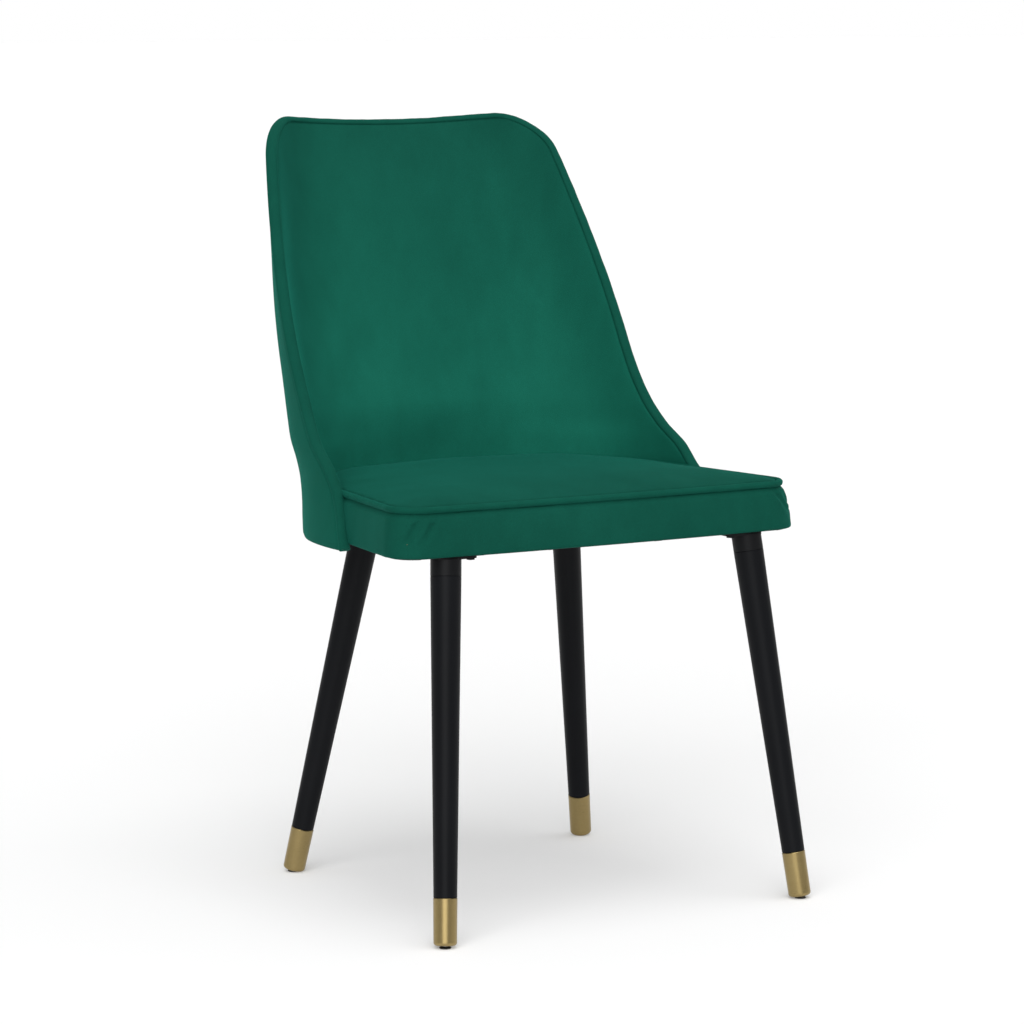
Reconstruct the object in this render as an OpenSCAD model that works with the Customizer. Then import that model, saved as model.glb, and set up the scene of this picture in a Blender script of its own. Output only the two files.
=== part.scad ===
// Upholstered dining chair: a curved bucket back with wings, a boxed seat
// cushion on a plywood base, and four splayed legs with metal ferrules.
// Millimetres. +Z is up and the sitter faces -Y. The origin is on the floor,
// in the middle of the chair's outline.

/* [Overall] */
// Height from the floor to the top corners of the back
overall_h = 870; // [760:1:1050]
// Height from the floor to the underside of the seat
seat_z = 414; // [340:1:500]

/* [Seat] */
// Width across the front corners at the underside
seat_w = 524; // [440:1:630]
// From the datum line forward to the front edge at the underside
seat_reach = 170; // [150:1:210]
// Radius of the front corners
seat_corner_r = 35; // [15:1:45]
// How far the middle of the front edge stands forward of its ends
seat_bulge = 5; // [0:1:12]
// Height of the boxing, from the underside to the piping
boxing_h = 51; // [42:1:80]
// How much the boxing leans out from the piping down to its foot
boxing_flare = 8; // [0:1:14]
// Diameter of the piping
piping_d = 7; // [4:0.5:9]
// Rise of the cushion from the piping to its crown
crown_h = 22; // [10:1:40]
// Thickness of the plywood base
base_t = 15; // [12:1:20]
// Gap between the cushion and the wings
seat_gap = 2; // [1.5:0.5:6]

/* [Back] */
// Width at the waist, between the seams
back_w = 438; // [380:1:530]
// Width at the top before its corners are rounded
back_top_w = 358; // [300:1:430]
// Radius of the top corners
back_corner_r = 40; // [20:1:60]
// Sag of the top edge between its corners
top_dip = 6; // [0:1:15]
// From the datum line back to the middle of the shell, at the underside
shell_depth = 220; // [190:1:265]
// Recline of the middle of the back, in degrees
back_recline = 13.8; // [8:0.1:20]
// Recline of the straight upper edges, in degrees
edge_recline = 26.5; // [20:0.1:32]
// From the datum line back to the line of the upper edges, at the underside
edge_line_y = 57; // [40:1:80]
// How far the wings reach forward of that line at the seat
wing_reach = 75; // [50:1:95]
// How far the wings flare outwards at the seat
wing_flare = 30; // [10:1:40]
// Height above the underside where the wings have died away
wing_h = 190; // [150:1:240]
// Turn of the shell's edge from straight across, at the top, in degrees
top_turn = 43; // [30:1:55]
// Turn of the shell's edge from straight across, at the seat, in degrees
seat_turn = 91.6; // [80:0.1:95]

/* [Shell layers] */
// Thickness of the moulded plywood shell
shell_t = 7; // [5:0.5:10]
// Thickness of the velvet covers
cover_t = 1.2; // [1:0.1:2]
// Thickness of the wadding behind the shell
wadding_t = 1.5; // [1:0.1:4]
// Thickness of the back foam at its edges
foam_edge_t = 1.8; // [1:0.1:5]
// Extra thickness of the back foam at its fullest
foam_swell = 20; // [5:1:40]
// How far the edge roll stands out from the seam
edge_roll = 5; // [3:0.5:8]

/* [Legs] */
// Diameter of a leg at its shoulder
leg_top_d = 33.6; // [28:0.2:42]
// Diameter of a leg where it meets its ferrule
leg_foot_d = 25.6; // [22:0.2:32]
// From a front corner inwards to the leg, across the seat
front_leg_in_x = 68; // [60:1:90]
// From the front edge inwards to the leg, along the seat
front_leg_in_y = 24; // [20:1:50]
// From the shell's waist inwards to a rear leg, across the seat
rear_leg_in_x = 87; // [70:1:110]
// From the back of the shell forwards to a rear leg
rear_leg_in_y = 79; // [70:1:110]
// Sideways splay of the front legs, in degrees
front_splay = 5.1; // [0:0.1:10]
// Forward rake of the front legs, in degrees
front_rake = 8.4; // [0:0.1:12]
// Sideways splay of the rear legs, in degrees
rear_splay = 8.9; // [0:0.1:12]
// Backward rake of the rear legs, in degrees
rear_rake = 9.1; // [0:0.1:12]
// Length of a ferrule
ferrule_l = 51; // [30:1:80]
// Wall of a ferrule
ferrule_wall = 1.2; // [0.8:0.1:2]
// Rounding of a ferrule's lower edge
ferrule_round = 3.5; // [1:0.5:5]
// How far a socket shows below the seat
socket_drop = 22; // [15:1:35]

/* [Hardware] */
// Thickness of the socket plates and the back brackets
plate_t = 2.5; // [2:0.5:4]
// Diameter of the socket bolts
bolt_d = 6; // [5:1:8]
// Diameter of the screws that hold the legs in their sockets
leg_screw_d = 5; // [4:1:6]
// Number of staples along the edge of the dust cover
staple_count = 24; // [12:2:40]

/* [Hidden] */
$fn = 48;
touch = 0.01;
fit_gap = 0.2;

// Colours
velvet = [0.11, 0.37, 0.31];
velvet_dark = [0.08, 0.29, 0.24];
stained = [0.10, 0.10, 0.11];
steel_black = [0.13, 0.13, 0.14];
satin_brass = [0.69, 0.60, 0.40];
birch = [0.84, 0.72, 0.53];
foam_cream = [0.93, 0.90, 0.78];
wadding_white = [0.95, 0.95, 0.93];
zinc = [0.72, 0.73, 0.75];
cloth_black = [0.09, 0.09, 0.09];

// --- The back's curved surface -------------------------------------------
// The seam surface stands upright: each level is a cubic curve from the
// middle of the back to the edge, and the layers are level offsets from it.

back_z0 = seat_z - 6;
back_z1 = overall_h - edge_roll;
shoulder_z = back_z1 - back_corner_r;
waist_z = seat_z + wing_h - 5;
narrowing_power = 1.65;
turn_power = 0.72;
centre_handle = 0.60;
edge_handle = 0.48;
halvings = 24;

// Wing outline: height as a share of wing_h, reach and flare as shares
wing_rows = [
  [-0.03, 1.00, 1.00], [0.07, 0.95, 0.85], [0.18, 0.91, 0.68],
  [0.285, 0.785, 0.50], [0.395, 0.63, 0.44], [0.51, 0.32, 0.31],
  [0.63, 0.155, 0.17], [0.79, 0.05, 0.06], [1.00, 0, 0]
];

function slope(rows, col, i) =
  let (a = max(i - 1, 0), b = min(i + 1, len(rows) - 1))
  (rows[b][col] - rows[a][col]) / (rows[b][0] - rows[a][0]);

// Smooth curve through the rows' points, held level past both ends
function through(rows, col, u) =
  u <= rows[0][0] ? rows[0][col] :
  u >= rows[len(rows) - 1][0] ? rows[len(rows) - 1][col] :
  let (
    i = max([for (k = [0:len(rows) - 2]) if (rows[k][0] <= u) k]),
    h = rows[i + 1][0] - rows[i][0],
    t = (u - rows[i][0]) / h
  )
  (2 * pow(t, 3) - 3 * t * t + 1) * rows[i][col]
  + (pow(t, 3) - 2 * t * t + t) * h * slope(rows, col, i)
  + (3 * t * t - 2 * pow(t, 3)) * rows[i + 1][col]
  + (pow(t, 3) - t * t) * h * slope(rows, col, i + 1);

function wing_share(col, z) = through(wing_rows, col, (z - seat_z) / wing_h);

function edge_y(z) =
  edge_line_y + (z - seat_z) * tan(edge_recline)
  - wing_reach * wing_share(1, z);

function edge_x(z) =
  back_w / 2 + wing_flare * wing_share(2, z)
  - (back_w - back_top_w) / 2
  * pow(max(z - waist_z, 0) / (back_z1 - waist_z), narrowing_power);

// The same, with the top corner rounded off
function rim_x(z) =
  let (up = max(z - shoulder_z, 0), r = back_corner_r)
  edge_x(z) - r + sqrt(max(r * r - up * up, 0));

function centre_y(z) = shell_depth + (z - seat_z) * tan(back_recline);

function turn(z) =
  let (down = min(max((back_z1 - z) / (back_z1 - seat_z - boxing_h), 0), 1))
  top_turn + (seat_turn - top_turn) * pow(down, turn_power);

function section(z) =
  let (
    w = edge_x(z), y0 = centre_y(z), y1 = edge_y(z),
    reach = edge_handle * norm([w, y0 - y1])
  )
  [
    [0, y0], [centre_handle * w, y0],
    [w - reach * cos(turn(z)), y1 + reach * sin(turn(z))], [w, y1]
  ];

function cubic(p, t) =
  pow(1 - t, 3) * p[0] + 3 * pow(1 - t, 2) * t * p[1]
  + 3 * (1 - t) * t * t * p[2] + pow(t, 3) * p[3];

function cubic_way(p, t) =
  let (
    d = pow(1 - t, 2) * (p[1] - p[0]) + 2 * (1 - t) * t * (p[2] - p[1])
      + t * t * (p[3] - p[2])
  )
  d / norm(d);

// Where a level's curve reaches a given width, by halving
function share_at(p, x, low, high, steps) =
  let (mid = (low + high) / 2)
  steps == 0 ? mid :
  cubic(p, mid)[0] < x ? share_at(p, x, mid, high, steps - 1)
  : share_at(p, x, low, mid, steps - 1);

function rim_share(z) =
  z <= shoulder_z ? 1 : share_at(section(z), rim_x(z), 0, 1, halvings);

// Height of a point after the top edge's sag
function sagged(z, x) =
  let (up = max(z - waist_z, 0) / (back_z1 - waist_z))
  z - top_dip * pow(up, 2) * (1 - pow(min(abs(x) / rim_x(back_z1), 1), 2));

// A point of the back: level z, share v from -1 to 1 of the way to the
// edges, and a level offset, positive towards the rear
function back_point(z, v, off) =
  let (
    p = section(z), t = abs(v) * rim_share(z), c = cubic(p, t),
    d = cubic_way(p, t), side = v < 0 ? -1 : 1
  )
  [side * (c[0] - off * d[1]), c[1] + off * d[0], sagged(z, c[0])];

// Levels: closer together at the wings and round the top corners
low_steps = 17;
corner_steps = 6;
level_bias = 0.55;
back_levels = concat(
  [for (i = [0:low_steps - 1])
    let (u = i / low_steps)
    back_z0 + (shoulder_z - back_z0) * (level_bias * u + (1 - level_bias) * u * u)],
  [for (i = [0:corner_steps])
    shoulder_z + back_corner_r * sin(90 * i / corner_steps)]
);
back_columns = 20;

// The stack, from the seam surface: rear positive
front_t = 5.2;
edge_t = 2 * cover_t + wadding_t + shell_t + foam_edge_t;
cover_back = edge_t - front_t;
wadding_back = cover_back - cover_t;
shell_back = wadding_back - wadding_t;
shell_front = shell_back - shell_t;

// Foam starts just below the top of the boxing
foam_lap = 14;
foam_z0 = seat_z + boxing_h - foam_lap;
foam_rise = 90;
foam_fade = 60;
foam_top_share = 0.5;
foam_first = 4;
foam_levels = concat([foam_z0], [for (z = back_levels) if (z > foam_z0 + foam_first) z]);

function ease(a, b, z) =
  let (u = min(max((z - a) / (b - a), 0), 1))
  u * u * (3 - 2 * u);

function foam_depth(z, v) =
  foam_edge_t + foam_swell * ease(foam_z0, foam_z0 + foam_rise, z)
  * (1 - foam_top_share * ease(waist_z, back_z1, z))
  * sqrt(max(1 - ease(shoulder_z - foam_fade, back_z1, z), 0))
  * (1 - pow(abs(v), 3));

// --- Solids from grids of points -----------------------------------------

function flat_list(rows) = [for (row = rows) for (p = row) p];

// Two triangles of a grid cell, with the same diagonal for both facings
function cell(a, b, c, d, turned) =
  turned ? [[a, b, c], [a, c, d]] : [[a, c, b], [a, d, c]];

// A solid between two grids of the same size, front first
module walled_sheet(front, rear) {
  n = len(front);
  m = len(front[0]);
  points = concat(flat_list(front), flat_list(rear));
  q = n * m;
  faces = concat(
    [for (i = [0:n - 2]) for (j = [0:m - 2])
      each cell(i * m + j, i * m + j + 1, (i + 1) * m + j + 1, (i + 1) * m + j, false)],
    [for (i = [0:n - 2]) for (j = [0:m - 2])
      each cell(q + i * m + j, q + i * m + j + 1, q + (i + 1) * m + j + 1,
        q + (i + 1) * m + j, true)],
    [for (j = [0:m - 2]) each cell(j, j + 1, q + j + 1, q + j, true)],
    [for (j = [0:m - 2])
      let (k = (n - 1) * m + j)
      each cell(k, k + 1, q + k + 1, q + k, false)],
    [for (i = [0:n - 2])
      let (k = i * m)
      each cell(k, k + m, q + k + m, q + k, false)],
    [for (i = [0:n - 2])
      let (k = i * m + m - 1)
      each cell(k, k + m, q + k + m, q + k, true)]
  );
  polyhedron(points, faces, convexity = 8);
}

// A solid through a list of rings, capped at both ends or joined round
module lofted(rings, joined) {
  n = len(rings);
  m = len(rings[0]);
  last = joined ? n - 1 : n - 2;
  sides = [for (i = [0:last]) for (j = [0:m - 1])
    each cell(i * m + j, i * m + (j + 1) % m, ((i + 1) % n) * m + (j + 1) % m,
      ((i + 1) % n) * m + j, false)];
  caps = joined ? [] : [
    [for (j = [0:m - 1]) j],
    [for (j = [m - 1:-1:0]) (n - 1) * m + j]
  ];
  polyhedron(flat_list(rings), concat(sides, caps), convexity = 8);
}

// --- The chair's place: origin in the middle of its outline ---------------

front_foot_y = seat_reach - front_leg_in_y + seat_z * tan(front_rake);
outline_front = front_foot_y + leg_foot_d / 2;
outline_rear = centre_y(back_z1) + cover_back;
datum_y = (outline_front - outline_rear) / 2;

module placed() {
  translate([0, datum_y, 0])
    children();
}

// --- Back layers ----------------------------------------------------------

function back_grid(levels, offsets) =
  [for (i = [0:len(levels) - 1]) [for (j = [-back_columns / 2:back_columns / 2])
    let (v = 2 * j / back_columns)
    back_point(levels[i], v, offsets[0] - offsets[1] * foam_depth(levels[i], v))]];

module back_layer(levels, front_off, rear_off, tint) {
  color(tint)
    placed()
      walled_sheet(back_grid(levels, front_off), back_grid(levels, rear_off));
}

module outside_back_cover() {
  back_layer(back_levels, [wadding_back, 0], [cover_back, 0], velvet_dark);
}

module back_wadding() {
  back_layer(back_levels, [shell_back, 0], [wadding_back, 0], wadding_white);
}

module back_shell() {
  back_layer(back_levels, [shell_front, 0], [shell_back, 0], birch);
}

module back_foam() {
  back_layer(foam_levels, [shell_front, 1], [shell_front, 0], foam_cream);
}

module inside_back_cover() {
  back_layer(foam_levels, [shell_front - cover_t, 1], [shell_front, 1], velvet);
}

// The edge roll follows the rim, from one wing's foot over the top
// to the other, and covers the layers' ends
function rim_point(k) =
  let (n = len(back_levels) - 1, c = back_columns)
  k <= n ? [back_levels[k], -1] :
  k <= n + c ? [back_z1, -1 + 2 * (k - n) / c] :
  [back_levels[2 * n + c - k], 1];

roll_steps = 8;
rim_count = 2 * len(back_levels) + back_columns - 1;
rim_rear = [for (k = [0:rim_count - 1])
  let (r = rim_point(k)) back_point(r[0], r[1], cover_back)];
rim_front = [for (k = [0:rim_count - 1])
  let (r = rim_point(k)) back_point(r[0], r[1], cover_back - edge_t)];

function rim_ring(k) =
  let (
    a = rim_front[max(k - 1, 0)], b = rim_front[min(k + 1, rim_count - 1)],
    across = rim_rear[k] - rim_front[k],
    out = cross(b - a, across)
  )
  [for (i = [0:roll_steps])
    rim_front[k] + across * (1 - cos(180 * i / roll_steps)) / 2
    + out / norm(out) * edge_roll * sin(180 * i / roll_steps)];

module back_edge_roll() {
  color(velvet_dark)
    placed()
      lofted([for (k = [0:rim_count - 1]) rim_ring(k)], false);
}

// --- Seat -----------------------------------------------------------------

front_steps = 5;
corner_points = 8;
side_steps = 4;
rear_steps = 12;
wing_share_in = 0.94;
piping_z = seat_z + boxing_h;
boxing_top = piping_z - piping_d / 2;

// The level is held where the inside cover starts, so the cushion's foot
// keeps the same rear outline as its rim there
function inner_off(z, v, inset) =
  cover_back - edge_t - seat_gap - inset
  - (z < foam_z0 ? 0 : foam_depth(z, v) - foam_edge_t);

// Right half of the cushion's outline at a level, moved in by inset
function half_outline(z, inset) =
  let (
    lean = boxing_flare * min(max((z - seat_z) / boxing_h, 0), 1),
    hw = seat_w / 2 - lean - inset,
    reach = seat_reach - lean - inset,
    r = max(seat_corner_r - inset, 1),
    end_x = hw - r,
    skew = atan(2 * seat_bulge / end_x),
    end_p = [end_x, -(reach - seat_bulge)],
    mid = end_p + r * [-sin(skew), cos(skew)],
    rear = [for (i = [0:rear_steps])
      let (v = wing_share_in * (1 - i / rear_steps), q = back_point(z, v, inner_off(z, v, inset)))
      [q[0], q[1]]],
    to_wing = rear[0] - mid,
    lead = atan2(to_wing[1], to_wing[0]) - acos(min(r / norm(to_wing), 1)),
    side_p = mid + r * [cos(lead), sin(lead)]
  )
  concat(
    [for (i = [0:front_steps - 1])
      let (u = i / front_steps)
      [u * end_x, -(reach - seat_bulge * u * u)]],
    [for (i = [0:corner_points])
      let (a = skew - 90 + (lead + 90 - skew) * i / corner_points)
      mid + r * [cos(a), sin(a)]],
    [for (i = [1:side_steps - 1]) side_p + (rear[0] - side_p) * i / side_steps],
    rear
  );

function outline(z, inset) =
  let (h = half_outline(z, inset), n = len(h))
  concat(h, [for (i = [n - 2:-1:1]) [-h[i][0], h[i][1]]]);

dome_y = (shell_depth - seat_reach) / 2;

// A ring of the cushion: level, inset, and shrink towards the middle
function ring(z, inset, shrink = 1, lift = 0) =
  [for (p = outline(z, inset))
    [p[0] * shrink, dome_y + (p[1] - dome_y) * shrink, z + lift]];

base_z = seat_z + cover_t;
base_top = base_z + base_t;
mid_z = (base_top + boxing_top) / 2;
dome_inset = piping_d + 2 * fit_gap;
dome_shrinks = [0.985, 0.95, 0.88, 0.76, 0.58, 0.35, 0.12];
dome_power = 2.6;

function dome_ring(shrink, inset, lift) =
  ring(piping_z, inset, shrink, lift + crown_h * (1 - pow(shrink, dome_power)));

module seat_foam() {
  color(foam_cream)
    placed()
      lofted(concat(
        [ring(base_top, cover_t), ring(mid_z, cover_t), ring(boxing_top, cover_t)],
        [ring(boxing_top + fit_gap, dome_inset), ring(piping_z, dome_inset)],
        [for (s = dome_shrinks) dome_ring(s, dome_inset, 0)]
      ), false);
}

module seat_top_cover() {
  color(velvet)
    placed()
      lofted(concat(
        [for (i = [len(dome_shrinks) - 1:-1:0])
          dome_ring(dome_shrinks[i], dome_inset, 0)],
        [ring(piping_z, dome_inset), ring(piping_z, dome_inset - cover_t, 1, cover_t)],
        [for (s = dome_shrinks) dome_ring(s, dome_inset - cover_t, cover_t)]
      ), false);
}

boxing_hem = 12;
boxing_r = 2.8;

module seat_boxing() {
  color(velvet)
    placed()
      lofted([
        ring(seat_z, boxing_hem), ring(seat_z, boxing_r),
        ring(seat_z + 0.3 * boxing_r, 0.3 * boxing_r), ring(seat_z + boxing_r, 0),
        ring(base_top, 0), ring(mid_z, 0), ring(boxing_top, 0),
        ring(boxing_top, cover_t), ring(mid_z, cover_t), ring(base_top, cover_t),
        ring(base_z, cover_t), ring(base_z, boxing_hem)
      ], true);
}

piping_inset = 2.5;
piping_sides = 10;

module seat_piping() {
  r = piping_d / 2;
  color(velvet_dark)
    placed()
      lofted([for (i = [0:piping_sides - 1])
        let (a = 360 * i / piping_sides - 90)
        ring(piping_z, piping_inset - r * cos(a), 1, r * sin(a))], true);
}

base_clear = 3.3;
base_inset = cover_t + base_clear;

module seat_base() {
  color(birch)
    placed()
      difference() {
        translate([0, 0, base_z])
          linear_extrude(base_t)
            polygon(outline(base_z, base_inset));
        at_socket_bolts()
          cylinder(d = tee_barrel_d, h = 2 * base_t + touch);
        at_back_bracket_screws(base_screw_in)
          cylinder(d = bracket_screw_d, h = 4 * base_t, center = true);
      }
}

dust_inset = 7;
dust_t = 1;

module dust_cover() {
  color(cloth_black)
    placed()
      difference() {
        translate([0, 0, seat_z - dust_t])
          linear_extrude(dust_t)
            polygon(outline(seat_z, dust_inset));
        at_socket_bolts()
          cylinder(d = bolt_d + fit_gap, h = 4 * base_t, center = true);
      }
}

staple_in = 3;
staple_l = 10;
staple_w = 1.2;
staple_t = 0.6;

module dust_cover_staples() {
  path = outline(seat_z, dust_inset + staple_in);
  n = len(path);
  color(zinc)
    placed()
      for (k = [0:staple_count - 1]) {
        i = floor((k + 0.5) * n / staple_count);
        way = path[(i + 1) % n] - path[i];
        mid = (path[(i + 1) % n] + path[i]) / 2;
        translate([mid[0], mid[1], seat_z - dust_t - staple_t / 2])
          rotate(atan2(way[1], way[0]))
            cube([staple_l, staple_w, staple_t], center = true);
      }
}

// --- Back brackets: angles that hold the shell to the base ----------------

bracket_places = [-0.72, -0.22, 0.22, 0.72];
bracket_w = 34;
bracket_up = 24;
bracket_in = 30;
bracket_screw_d = 4;
bracket_screw_l = 14;
bracket_head_d = 8;
bracket_head_h = 2.4;
shell_screw_z = base_top + 13;
bracket_clear = 0.6;
sight = 10;
base_screw_in = bracket_in - bracket_head_d - 1;

// Frame on the shell's inner face at a share v: the level direction that
// points into the seat, as an angle
function bracket_spot(v) = back_point(shell_screw_z, v, shell_front - bracket_clear);
function bracket_aim(v) =
  let (d = bracket_spot(v) - back_point(shell_screw_z, v, shell_front - sight))
  atan2(-d[1], -d[0]);
function bracket_lean(v) =
  let (
    a = back_point(base_top, v, shell_front), b = back_point(shell_screw_z + sight, v, shell_front),
    aim = bracket_aim(v), way = [cos(aim), sin(aim)]
  )
  atan(((a[0] - b[0]) * way[0] + (a[1] - b[1]) * way[1]) / (b[2] - a[2]));

module at_bracket(v) {
  spot = bracket_spot(v);
  translate([spot[0], spot[1], 0])
    rotate(bracket_aim(v))
      children();
}

module at_back_bracket_screws(inwards) {
  for (v = bracket_places)
    at_bracket(v)
      for (side = [-1, 1])
        translate([inwards, side * bracket_w / 4, base_top])
          children();
}

module at_shell_screws() {
  for (v = bracket_places)
    at_bracket(v)
      for (side = [-1, 1])
        translate([0, side * bracket_w / 4, shell_screw_z])
          rotate([0, -bracket_lean(v), 0])
            rotate([0, 90, 0])
              children();
}

module back_brackets() {
  color(zinc)
    placed()
      difference() {
        for (v = bracket_places)
          at_bracket(v) {
            translate([0, 0, shell_screw_z])
              rotate([0, -bracket_lean(v), 0])
                translate([0, -bracket_w / 2, base_top - shell_screw_z])
                  cube([plate_t, bracket_w, bracket_up]);
            translate([0, -bracket_w / 2, base_top + touch])
              cube([bracket_in, bracket_w, plate_t]);
          }
        at_back_bracket_screws(base_screw_in)
          cylinder(d = bracket_screw_d, h = 4 * plate_t, center = true);
        at_shell_screws()
          cylinder(d = bracket_screw_d, h = 6 * plate_t, center = true);
        at_bracket_undersides();
      }
}

// Space below the base's top face, where no bracket may reach
module at_bracket_undersides() {
  for (v = bracket_places)
    at_bracket(v)
      translate([-bracket_in, -bracket_w, base_top - bracket_in + touch])
        cube([3 * bracket_in, 2 * bracket_w, bracket_in]);
}

module back_bracket_screws() {
  color(zinc)
    placed() {
      at_back_bracket_screws(base_screw_in) {
        translate([0, 0, plate_t + touch])
          cylinder(d = bracket_head_d, h = bracket_head_h);
        translate([0, 0, plate_t - bracket_screw_l])
          cylinder(d = bracket_screw_d, h = bracket_screw_l + 2 * touch);
      }
      at_shell_screws() {
        translate([0, 0, plate_t])
          cylinder(d = bracket_head_d, h = bracket_head_h);
        translate([0, 0, -bracket_clear])
          cylinder(d = bracket_screw_d, h = bracket_clear + plate_t + touch);
      }
    }
}

// --- Legs -----------------------------------------------------------------

// Each leg: side, end (-1 front, 1 rear), splay and rake
legs = [
  [-1, -1, front_splay, front_rake], [1, -1, front_splay, front_rake],
  [-1, 1, rear_splay, rear_rake], [1, 1, rear_splay, rear_rake]
];

// Where a leg's axis meets the underside of the seat, and the floor
function leg_top(leg) =
  leg[1] < 0
  ? [leg[0] * (seat_w / 2 - front_leg_in_x), -(seat_reach - front_leg_in_y), seat_z]
  : [leg[0] * (back_w / 2 - rear_leg_in_x), shell_depth - rear_leg_in_y, seat_z];

function leg_foot(leg) =
  leg_top(leg) + seat_z * [leg[0] * tan(leg[2]), leg[1] * tan(leg[3]), -1];

// Frame with +Z up the leg's axis and its origin at the foot
module on_leg(leg) {
  up = leg_top(leg) - leg_foot(leg);
  translate(leg_foot(leg))
    rotate([0, acos(up[2] / norm(up)), atan2(up[1], up[0])])
      children();
}

function leg_slant(leg) = norm(leg_top(leg) - leg_foot(leg)) / seat_z;

glide_h = 2.5;
glide_t = 0.9;
glide_r = 6.5;
glide_edge = 0.4;
nail_d = 2.4;
nail_l = 16;
nail_head_r = 3;
nail_head_t = 0.6;
joint_chamfer = 0.7;
tenon_wall = 3;
cup_floor_t = 2.5;
cup_clear = 6;
ferrule_floor = 2.5;
ferrule_taper = 0.4;
ferrule_proud = 0.3;
ferrule_lip = 0.6;

function shoulder_at(leg) = (seat_z - socket_drop) * leg_slant(leg);
function cup_floor_at(leg) = (seat_z - cup_clear) * leg_slant(leg) - cup_floor_t;
function tenon_r() = leg_top_d / 2 - tenon_wall - fit_gap;

module leg(leg) {
  foot = glide_h + ferrule_floor + fit_gap;
  ferrule_top = glide_h + ferrule_l;
  shoulder = shoulder_at(leg);
  top = cup_floor_at(leg) - fit_gap;
  peg_r = leg_foot_d / 2 - ferrule_wall - fit_gap;
  pilot = leg_screw_l - cup_floor_t;
  color(stained)
    placed()
      on_leg(leg)
        rotate_extrude()
          polygon([
            [nail_d / 2, foot], [peg_r, foot], [peg_r, ferrule_top],
            [leg_foot_d / 2 - joint_chamfer, ferrule_top],
            [leg_foot_d / 2, ferrule_top + joint_chamfer],
            [leg_top_d / 2, shoulder - joint_chamfer],
            [leg_top_d / 2 - joint_chamfer, shoulder],
            [tenon_r(), shoulder], [tenon_r(), top],
            [leg_screw_d / 2, top], [leg_screw_d / 2, top - pilot],
            [0, top - pilot], [0, glide_h + nail_l],
            [nail_d / 2, glide_h + nail_l]
          ]);
}

module ferrule(leg) {
  r = leg_foot_d / 2 + ferrule_proud;
  low_r = r - ferrule_taper;
  round_r = ferrule_round;
  bore_r = leg_foot_d / 2 - ferrule_wall;
  color(satin_brass)
    placed()
      on_leg(leg)
        rotate_extrude()
          polygon(concat(
            [[nail_d / 2, glide_h]],
            [for (a = [-90:15:0])
              [low_r - round_r + round_r * cos(a), glide_h + round_r + round_r * sin(a)]],
            [
              [r, glide_h + ferrule_l - ferrule_lip],
              [r - ferrule_lip, glide_h + ferrule_l - touch],
              [bore_r, glide_h + ferrule_l - touch],
              [bore_r, glide_h + ferrule_floor],
              [nail_d / 2, glide_h + ferrule_floor]
            ]
          ));
}

// A level pad under the tilted ferrule, and the nail that holds it
module glide(leg) {
  color(cloth_black)
    placed()
      translate([leg_foot(leg)[0], leg_foot(leg)[1], 0])
        rotate_extrude()
          polygon([
            [0, 0], [glide_r - glide_edge, 0], [glide_r, glide_edge],
            [glide_r, glide_t], [0, glide_t]
          ]);
}

module glide_nails() {
  color(zinc)
    placed()
      for (leg = legs)
        on_leg(leg)
          rotate_extrude()
            polygon([
              [0, glide_h - nail_head_t], [nail_head_r, glide_h - nail_head_t],
              [nail_head_r, glide_h - touch], [nail_d / 2, glide_h - touch],
              [nail_d / 2, glide_h + nail_l - touch], [0, glide_h + nail_l - touch]
            ]);
}

// --- Leg sockets ----------------------------------------------------------

plate_side = 48;
plate_out = 15;
plate_r = 8;
plate_z = seat_z - dust_t - plate_t;
bolt_l = base_t + plate_t + dust_t + cover_t;
bolt_head_d = 10;
bolt_head_h = 2;
bolt_spare = 2;
bolt_places = [[-26, -8], [-26, 26], [8, 26]];
tee_barrel_d = 8;
tee_flange_d = 18;
tee_flange_t = 1.2;
tee_rise = 3;
leg_screw_l = 45;
leg_screw_head_d = 10;
leg_screw_head_h = 3;

module plate_outline() {
  low = plate_out - plate_side;
  translate([low + plate_r, -plate_out + plate_r])
    rounded_square(plate_side - 2 * plate_r);
}

module rounded_square(side) {
  for (x = [0, side], y = [0, side])
    translate([x, y])
      circle(plate_r);
  translate([0, -plate_r])
    square([side, side + 2 * plate_r]);
  translate([-plate_r, 0])
    square([side + 2 * plate_r, side]);
}

module at_leg_bolts(leg) {
  up = leg_top(leg) - leg_foot(leg);
  at = leg_foot(leg) + up * (plate_z + plate_t) / seat_z;
  for (b = bolt_places)
    translate([at[0] + leg[0] * b[0], at[1] - leg[1] * b[1], plate_z])
      children();
}

module at_socket_bolts() {
  for (leg = legs)
    at_leg_bolts(leg)
      children();
}

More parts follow.
